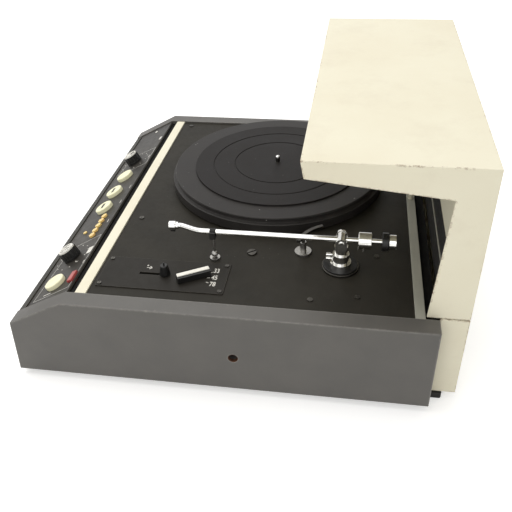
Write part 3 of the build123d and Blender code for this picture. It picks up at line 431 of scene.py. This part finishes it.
def make_case_paints():
    """The paints of the case, the deck, the rail and the hood."""
    painted("panel_grey", base=(0.112, 0.106, 0.097), shade=(0.094, 0.09, 0.083), edge=(0.3, 0.285, 0.26),
            rough=(0.36, 0.5), edge_width=2.8, edge_share=1.3, specular=0.4, chips=(0.34, 0.32, 0.28))
    painted("case_sheet", base=(0.022, 0.021, 0.02), shade=(0.014, 0.013, 0.013),
            edge=(0.1, 0.095, 0.085), rough=(0.45, 0.6), specular=0.25)
    painted("deck_black", base=(0.029, 0.026, 0.02), shade=(0.02, 0.018, 0.014), edge=(0.1, 0.09, 0.075),
            rough=(0.46, 0.6), grain=0.7, depth=0.04, specular=0.14, specks=(0.16, 0.15, 0.13))
    painted("strip_black", base=(0.046, 0.041, 0.034), shade=(0.02, 0.018, 0.0155),
            edge=(0.13, 0.12, 0.1), rough=(0.38, 0.52), patch=85.0, grain=0.6, specular=0.24,
            specks=(0.4, 0.38, 0.34))
    # The lip's pale edge colour is partly wear and partly a painted highlight along its edge.
    painted("lip_black", base=(0.03, 0.028, 0.021), shade=(0.02, 0.019, 0.015), edge=(0.16, 0.15, 0.12),
            rough=(0.4, 0.55), edge_width=0.9, edge_share=1.2, specular=0.18)
    # The operating plate's pale edge colour is partly wear and partly a painted highlight along its
    # bevelled edges.
    painted("plate_black", base=(0.024, 0.0215, 0.0175), shade=(0.018, 0.016, 0.013),
            edge=(0.17, 0.155, 0.13), rough=(0.45, 0.6), grain=0.7, depth=0.04, edge_width=0.7,
            edge_share=1.3, specular=0.15, specks=(0.16, 0.15, 0.13))
    # Near black for the shallow channels between strip and trim: painted shade standing in for the deep
    # gap there.
    painted("gap_shade_black", base=(0.014, 0.013, 0.012), shade=(0.008, 0.008, 0.008),
            edge=(0.05, 0.045, 0.04), rough=(0.6, 0.8), specular=0.1)
    painted("rail_grey", base=(0.46, 0.455, 0.385), shade=(0.36, 0.355, 0.3), edge=(0.6, 0.59, 0.52),
            rough=(0.4, 0.55))
    painted("cream_paint", base=(0.815, 0.775, 0.612), shade=(0.775, 0.722, 0.556),
            edge=(0.86, 0.83, 0.7), rough=(0.42, 0.56), patch=150.0, grain=1.1, edge_width=1.7,
            edge_share=0.4, chips=(0.19, 0.1, 0.045), chip_level=0.5, smudge=(0.62, 0.545, 0.41),
            worn_stretch=CHIPPED)
    painted("trim_cream", base=(0.86, 0.82, 0.66), shade=(0.8, 0.75, 0.58), edge=(0.9, 0.88, 0.76),
            rough=(0.35, 0.5))


def make_plastics():
    """Rubber, moulded plastics and the circuit boards."""
    painted("rubber_black", base=(0.02, 0.019, 0.018), shade=(0.013, 0.0125, 0.012),
            edge=(0.05, 0.048, 0.045), rough=(0.55, 0.72), grain=0.8, depth=0.05, specular=0.25)
    painted("black_plastic", base=(0.014, 0.0135, 0.013), shade=(0.009, 0.009, 0.009),
            edge=(0.06, 0.058, 0.052), rough=(0.26, 0.4), specular=0.35)
    painted("yellow_plastic", base=(0.93, 0.91, 0.65), shade=(0.89, 0.86, 0.56), edge=(0.5, 0.46, 0.2),
            rough=(0.3, 0.42), patch=16.0, edge_width=1.3, edge_share=1.1)
    painted("red_plastic", base=(0.46, 0.075, 0.066), shade=(0.34, 0.05, 0.048), edge=(0.6, 0.2, 0.17),
            rough=(0.25, 0.4), patch=10.0)
    painted("board_green", base=(0.035, 0.13, 0.06), shade=(0.025, 0.1, 0.045), edge=(0.1, 0.2, 0.12),
            rough=(0.35, 0.5))


def make_metals():
    """Iron, steel, brass and plating."""
    painted("iron", base=(0.09, 0.085, 0.08), shade=(0.055, 0.05, 0.048), edge=(0.2, 0.19, 0.18),
            rough=(0.4, 0.6), metallic=0.6)
    metal("steel", base=(0.42, 0.41, 0.39), shade=(0.3, 0.29, 0.27), rough=(0.28, 0.45))
    # The darker steel is the dark colour given to the screws and the lift bar, and painted shade on the
    # chrome spindle and arm base ring.
    metal("dark_and_shaded_steel", base=(0.1, 0.095, 0.085), shade=(0.055, 0.052, 0.048), rough=(0.3, 0.45))
    metal("brass", base=(0.62, 0.46, 0.22), shade=(0.48, 0.34, 0.15), rough=(0.22, 0.4))
    metal("chrome", base=(0.78, 0.775, 0.75), shade=(0.62, 0.61, 0.58), rough=(0.1, 0.22))


def make_platter_finishes():
    """The platter and its mat, both with turned rings."""
    turned_black("platter_black", base=(0.022, 0.0198, 0.0188), shade=(0.034, 0.0312, 0.0288), pitch=1.3,
                 depth=0.02, rough=(0.38, 0.5), specks=(0.34, 0.33, 0.31), specular=0.17)
    turned_black("mat_rubber", base=(0.0135, 0.0118, 0.0114), shade=(0.021, 0.019, 0.018), pitch=2.2,
                 depth=0.1, rough=(0.5, 0.66), specks=(0.09, 0.085, 0.08), specular=0.15)


def make_lens_plastic():
    """The orange lenses of the lamps."""
    clear_plastic("orange_lens", tint=(0.98, 0.63, 0.21), rough=0.15, weight=0.08)


def make_marks():
    """Pale caps, prints and rust."""
    painted("cap_silver", base=(0.92, 0.9, 0.83), shade=(0.8, 0.78, 0.7), edge=(0.9, 0.88, 0.82),
            rough=(0.25, 0.4), patch=9.0)
    painted("mark_white", base=(0.8, 0.78, 0.72), shade=(0.66, 0.64, 0.58), edge=(0.8, 0.78, 0.72),
            rough=(0.4, 0.55), patch=12.0)
    painted("line_silver", base=(0.55, 0.54, 0.5), shade=(0.42, 0.41, 0.38), edge=(0.5, 0.49, 0.46),
            rough=(0.35, 0.5), patch=20.0)
    painted("rust", base=(0.1, 0.045, 0.024), shade=(0.04, 0.02, 0.014), edge=(0.2, 0.09, 0.045),
            rough=(0.7, 0.9), patch=3.0, grain=0.5, depth=0.15, specular=0.2)


def make_materials():
    """Every paint, plastic, rubber and metal of the object."""
    make_case_paints()
    make_plastics()
    make_metals()
    make_platter_finishes()
    make_lens_plastic()
    make_marks()


# Mesh tools


def publish(name, mesh, body, material, replaced=(), crisp=True):
    """Links a mesh as a piece that rides on a body and material."""
    made = bpy.data.objects.new(name, mesh)
    bpy.context.scene.collection.objects.link(made)
    mesh.materials.clear()
    mesh.materials.append(MATERIALS[material])
    if crisp:
        weighted = made.modifiers.new("even_flats", "WEIGHTED_NORMAL")
        weighted.keep_sharp = True
    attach(made, body)
    if replaced:
        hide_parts(*replaced)


def mark_smooth(bm):
    """Smooth faces, with sharp edges only where the surface really turns."""
    bm.normal_update()
    for face in bm.faces:
        face.smooth = True
    for edge in bm.edges:
        edge.smooth = len(edge.link_faces) == 2 and edge.calc_face_angle(0.0) < SMOOTH_ANGLE


def to_mesh(name, bm, place=None):
    """Ends a mesh that was drawn in mm: placed, sized to the frame and shaded."""
    bm.transform(TO_FRAME if place is None else TO_FRAME @ place)
    mark_smooth(bm)
    mesh = bpy.data.meshes.new(name)
    bm.to_mesh(mesh)
    bm.free()
    return mesh


def round_edges(bm, edges, width):
    """Rounds the given edges over by width, in the mesh's own unit."""
    bmesh.ops.bevel(bm, geom=edges, offset=width, segments=2, profile=0.5, affect="EDGES",
                    clamp_overlap=True)


def softened(node, width):
    """A copy of a CAD node's mesh, with whole faces and its real edges rounded over by width mm."""
    bm = bmesh.new()
    bm.from_mesh(frame["nodes"][node].data)
    bmesh.ops.remove_doubles(bm, verts=bm.verts, dist=WELD)
    bmesh.ops.dissolve_limit(bm, angle_limit=FLAT_ANGLE, verts=bm.verts, edges=bm.edges,
                             use_dissolve_boundaries=False)
    bm.normal_update()
    sharp = [edge for edge in bm.edges
             if len(edge.link_faces) == 2 and edge.calc_face_angle(0.0) > SMOOTH_ANGLE]
    round_edges(bm, sharp, width * MM)
    mark_smooth(bm)
    mesh = bpy.data.meshes.new(node + "_soft")
    bm.to_mesh(mesh)
    bm.free()
    return mesh


def block(size, ease):
    """A block on the XY plane, centred, with eased edges."""
    bm = bmesh.new()
    bmesh.ops.create_cube(bm, size=1.0)
    bmesh.ops.translate(bm, verts=bm.verts, vec=(0, 0, 0.5))
    bmesh.ops.scale(bm, verts=bm.verts, vec=size)
    round_edges(bm, bm.edges[:], ease)
    return bm


def lathe(outline, steps):
    """A turned solid about Z. Its outline ends on the axis or closes on itself."""
    bm = bmesh.new()
    rings = []
    for radius, height in outline:
        if radius == 0:
            rings.append([bm.verts.new((0, 0, height))])
            continue
        rings.append([bm.verts.new((radius * math.cos(2 * math.pi * step / steps),
                                    radius * math.sin(2 * math.pi * step / steps), height))
                      for step in range(steps)])
    pairs = list(zip(rings, rings[1:]))
    if len(rings[0]) > 1 and len(rings[-1]) > 1:
        pairs.append((rings[-1], rings[0]))
    for low, high in pairs:
        for step in range(steps):
            after = (step + 1) % steps
            corners = [low[step % len(low)], low[after % len(low)]]
            corners += [high[after % len(high)], high[step % len(high)]]
            corners = list(dict.fromkeys(corners))
            if len(corners) > 2:
                bm.faces.new(corners)
    bmesh.ops.recalc_face_normals(bm, faces=bm.faces)
    return bm


def join(parts):
    """One mesh from several, each with its own place."""
    whole = bmesh.new()
    for bm, place in parts:
        bm.transform(place)
        part = bpy.data.meshes.new("part")
        bm.to_mesh(part)
        bm.free()
        whole.from_mesh(part)
        bpy.data.meshes.remove(part)
    return whole


def stroke(points, width):
    """A flat printed line through the given places, on the XY plane."""
    parts = []
    for first, last in zip(points, points[1:]):
        run = Vector(last) - Vector(first)
        bm = block((run.length + width, width, INK), INK / 3)
        middle = (Vector(first) + Vector(last)) / 2
        turn = Matrix.Rotation(math.atan2(run.y, run.x), 4, "Z")
        parts.append((bm, Matrix.Translation((middle.x, middle.y, 0)) @ turn))
    return join(parts)


def dots(places, radius):
    """Flat printed dots on the XY plane."""
    outline = [(0, 0), (radius, 0), (radius, INK * 0.7), (radius * 0.9, INK), (0, INK)]
    return join([(lathe(outline, steps=20), Matrix.Translation((x, y, 0))) for x, y in places])


# Finished copies of the CAD nodes


def finish_cad_nodes():
    """Gives every CAD node its material, and replaces those in view by copies with rounded edges."""
    for row in frame["record"]["subparts"]:
        node = row["node"]
        slot = row["material_slot"]
        look = OWN_LOOK.get(node, slot)
        shown = frame["nodes"][node]
        shown.data.materials.clear()
        shown.data.materials.append(MATERIALS[look])
        if node in EDGE_WIDTHS:
            mesh = softened(node, EDGE_WIDTHS[node])
            publish(node + "_piece", mesh, shown["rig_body"], look, (node,))


# Small details


def print_on_base(name, bm, place, look="mark_white"):
    """A printed mark that stays on the case."""
    publish(name, to_mesh(name, bm, place), "base", look)


def make_button_windows():
    """The dark slot-shaped window in the middle button caps."""
    for body, x in WINDOWS.items():
        mesh = to_mesh("window", block(WINDOW_SIZE, WINDOW_EASE), on_slope(x, BUTTON_RUN, WINDOW_LIFT))
        publish(body + "_window", mesh, body, "strip_black")


def make_knob_caps():
    """Pale caps with a pointer line, and the ring of dots each knob points to."""
    for body, x in KNOBS.items():
        place = on_slope(x, KNOB_RUN)
        cap = to_mesh("cap", lathe(KNOB_CAP_OUTLINE, steps=72), place)
        publish(body + "_cap", cap, body, "cap_silver")
        raised = place @ Matrix.Translation((0, 0, POINTER_LIFT))
        pointer = to_mesh("pointer", stroke(POINTER, POINTER_W), raised)
        publish(body + "_pointer", pointer, body, "strip_black")
        turns = [math.radians(degrees) for degrees in SCALE_DEGREES]
        ring = [(x + SCALE_R * math.cos(turn), KNOB_RUN + SCALE_R * math.sin(turn)) for turn in turns]
        print_on_base(body + "_scale", dots(ring, SCALE_DOT_R), on_slope(0, 0, STRIP_LIFT))


def make_strip_print():
    """Thin frames round the groups of controls, and the small pale marks beside them."""
    strip = on_slope(0, 0, STRIP_LIFT)
    for name, points in FRAME_LINES.items():
        print_on_base("strip_frame_" + name, stroke(points, FRAME_LINE_W), strip, "line_silver")
    marks = join([(stroke(line, DASH_W), Matrix.Identity(4)) for line in DASHES])
    print_on_base("strip_dashes", marks, strip)
    plates = [(block(size, LABEL_EASE), Matrix.Translation((*place, 0))) for place, size in LABELS]
    print_on_base("strip_labels", join(plates), strip)
    mesh = to_mesh("screw", lathe(STRIP_SCREW_OUTLINE, steps=32), on_slope(*STRIP_SCREW, STRIP_LIFT))
    publish("strip_screw", mesh, "base", "cap_silver")


def make_numbers():
    """The speeds printed beside the selector, read from the operator's right, and their ticks."""
    turn = Matrix.Rotation(math.pi / 2, 4, "Z")
    tall = Matrix.Diagonal((*NUMBER_STRETCH, 1.0, 1.0))
    ticks = []
    for text, x in NUMBERS:
        curve = bpy.data.curves.new("speed_" + text, "FONT")
        curve.body = text
        curve.size = NUMBER_SIZE
        curve.align_x = "CENTER"
        curve.align_y = "CENTER"
        curve.extrude = INK / 2
        curve.offset = NUMBER_THICKENING
        shape = bpy.data.objects.new("speed_shape", curve)
        mesh = bpy.data.meshes.new_from_object(shape)
        bpy.data.objects.remove(shape)
        place = Matrix.Translation((x, NUMBER_Y, PLATE_TOP + INK / 2))
        mesh.transform(TO_FRAME @ place @ turn @ tall)
        publish("speed_" + text, mesh, "base", "mark_white", crisp=False)
        aim = (Vector((x, NUMBER_Y)) - Vector(SELECTOR)).normalized()
        near_end = Vector((x, NUMBER_Y)) - aim * TICK_START
        ticks.append((stroke([near_end, near_end + aim * TICK_LENGTH], TICK_W), Matrix.Identity(4)))
    print_on_base("speed_ticks", join(ticks), Matrix.Translation((0, 0, PLATE_TOP)))


def make_lever_details():
    """The selector's silver cap, the pin on the cue knob and the small arrow beside its slot."""
    cap = Matrix.Translation((*SELECTOR, SELECTOR_CAP_LOW)) @ Matrix.Rotation(SELECTOR_TURN, 4, "Z")
    cap = cap @ Matrix.Translation((SELECTOR_CAP_SHIFT, 0, 0))
    mesh = to_mesh("cap", block(SELECTOR_CAP_SIZE, SELECTOR_CAP_EASE), cap)
    publish("selector_cap", mesh, "speed_selector", "cap_silver")
    mesh = to_mesh("pin", lathe(CUE_PIN_OUTLINE, steps=24), Matrix.Translation((*CUE, 0)))
    publish("cue_pin", mesh, "cue_lever", "black_plastic")
    shapes = (stroke(ARROW_SHAFT, ARROW_W), stroke(ARROW_BARBS, ARROW_W), dots([ARROW_DOT], ARROW_DOT_R))
    arrow = join([(bm, Matrix.Identity(4)) for bm in shapes])
    place = Matrix.Translation((*ARROW_PLACE, PLATE_TOP)) @ Matrix.Rotation(math.pi / 2, 4, "Z")
    print_on_base("lift_arrow", arrow, place)


def make_small_fittings():
    """The spindle's tip, the fine weight's polished grip, the hood's inner line and the rail's peg."""
    tip = to_mesh("tip", lathe(SPINDLE_TIP_OUTLINE, steps=48))
    publish("spindle_tip", tip, "platter", "chrome")
    x, y, z = ARM_PIVOT
    along = Matrix.Translation((x, y + GRIP_SHIFT, z)) @ Matrix.Rotation(-math.pi / 2, 4, "X")
    grip = to_mesh("grip", lathe(GRIP_OUTLINE, steps=96), along)
    publish("fine_weight_band", grip, "fine_weight", "chrome")
    line = to_mesh("line", block(INNER_LINE_SIZE, INNER_LINE_EASE), Matrix.Translation(INNER_LINE_PLACE))
    publish("hood_inner_line", line, "hood", "rail_grey")
    peg = to_mesh("peg", lathe(PEG_OUTLINE, steps=40), Matrix.Translation((*PEG_PLACE, 0)))
    publish("rail_peg", peg, "base", "trim_cream")


def make_hole_rims():
    """Rust just inside the mouth of the hole in each side panel."""
    for name, x, turn in HOLE_MOUTHS:
        place = Matrix.Translation((x, HOLE_Y, HOLE_Z)) @ Matrix.Rotation(turn * math.pi / 2, 4, "Y")
        mesh = to_mesh("hole_rim", lathe(HOLE_RIM_OUTLINE, steps=48), place)
        publish("hole_rim_" + name, mesh, "base", "rust")


# Stage, light and camera


def make_floor():
    """A pale floor that is lifted to near white for the camera, and keeps the object's shadow."""
    bm = bmesh.new()
    bmesh.ops.create_grid(bm, x_segments=8, y_segments=8, size=FLOOR_HALF)
    mesh = bpy.data.meshes.new("floor")
    bm.to_mesh(mesh)
    bm.free()
    floor = bpy.data.objects.new("floor", mesh)
    bpy.context.scene.collection.objects.link(floor)
    look = Look("floor_white")
    tone = look.mix(look.spread(look.noise(300.0), 0.3, 0.7), FLOOR_BASE, FLOOR_SHADE)
    look.close(tone, 0.8, specular=0.2)
    glow = look.node("ShaderNodeEmission")
    path = look.node("ShaderNodeLightPath")
    seen = look.math("MAXIMUM", path.outputs["Is Camera Ray"], path.outputs["Is Glossy Ray"])
    seen = look.math("MAXIMUM", seen, path.outputs["Is Transmission Ray"])
    look.wire(look.math("MULTIPLY", seen, FLOOR_LIFT), glow.inputs["Strength"])
    both = look.node("ShaderNodeAddShader")
    look.wire(look.shader.outputs["BSDF"], both.inputs[0])
    look.wire(glow.outputs["Emission"], both.inputs[1])
    output = next(node for node in look.tree.nodes if node.type == "OUTPUT_MATERIAL")
    look.wire(both.outputs["Shader"], output.inputs["Surface"])
    mesh.materials.append(look.material)


def make_world():
    """A soft even sky that metal, glass and the camera see as plain white."""
    world = bpy.data.worlds.new("studio")
    bpy.context.scene.world = world
    world.use_nodes = True
    tree = world.node_tree
    output = next(node for node in tree.nodes if node.type == "OUTPUT_WORLD")
    glow = next(node for node in tree.nodes if node.type == "BACKGROUND")
    glow.inputs["Color"].default_value = SKY_COLOUR
    glow.inputs["Strength"].default_value = SKY_LEVEL
    white = tree.nodes.new("ShaderNodeBackground")
    white.inputs["Color"].default_value = (1.0, 1.0, 1.0, 1.0)
    white.inputs["Strength"].default_value = 1.0
    path = tree.nodes.new("ShaderNodeLightPath")
    seen = path.outputs["Is Camera Ray"]
    for ray in ("Is Glossy Ray", "Is Transmission Ray"):
        either = tree.nodes.new("ShaderNodeMath")
        either.operation = "MAXIMUM"
        tree.links.new(seen, either.inputs[0])
        tree.links.new(path.outputs[ray], either.inputs[1])
        seen = either.outputs[0]
    pick = tree.nodes.new("ShaderNodeMixShader")
    tree.links.new(seen, pick.inputs[0])
    tree.links.new(glow.outputs[0], pick.inputs[1])
    tree.links.new(white.outputs[0], pick.inputs[2])
    tree.links.new(pick.outputs[0], output.inputs["Surface"])


def make_lamps():
    """A large soft lamp above and a smaller one at the operator's right."""
    for name, place, size, power in LAMPS:
        lamp = bpy.data.lights.new(name, "AREA")
        lamp.shape = "SQUARE"
        lamp.size = size
        lamp.energy = power
        lamp.color = LAMP_COLOUR
        shown = bpy.data.objects.new(name, lamp)
        shown.location = place
        shown.rotation_euler = (-Vector(place)).to_track_quat("-Z", "Y").to_euler()
        bpy.context.scene.collection.objects.link(shown)


def make_camera():
    """The photograph's camera, from the fitted place, angles and focal length."""
    ahead = Vector((-math.cos(CAMERA_YAW) * math.cos(CAMERA_PITCH),
                    math.sin(CAMERA_YAW) * math.cos(CAMERA_PITCH),
                    -math.sin(CAMERA_PITCH)))
    right = ahead.cross(Vector((0, 0, 1))).normalized()
    above = right.cross(ahead)
    tilted_right = math.cos(CAMERA_ROLL) * right + math.sin(CAMERA_ROLL) * above
    tilted_above = math.cos(CAMERA_ROLL) * above - math.sin(CAMERA_ROLL) * right
    lens = bpy.data.cameras.new("photo_camera")
    lens.sensor_width = SENSOR
    lens.lens = FOCAL_PX / IMAGE_PX * SENSOR
    lens.shift_x = (IMAGE_PX / 2 - CENTRE_PX[0]) / IMAGE_PX
    lens.shift_y = (CENTRE_PX[1] - IMAGE_PX / 2) / IMAGE_PX
    lens.clip_end = VIEW_REACH
    camera = bpy.data.objects.new("photo_camera", lens)
    bpy.context.scene.collection.objects.link(camera)
    turn = Matrix((tilted_right, tilted_above, -ahead)).transposed()
    camera.matrix_world = Matrix.Translation(ORIGIN + Vector(CAMERA_PLACE) * MM) @ turn.to_4x4()
    bpy.context.scene.camera = camera


make_materials()
finish_cad_nodes()
make_button_windows()
make_knob_caps()
make_strip_print()
make_numbers()
make_lever_details()
make_small_fittings()
make_hole_rims()
make_floor()
make_world()
make_lamps()
make_camera()
bpy.context.scene.view_settings.view_transform = "Standard"
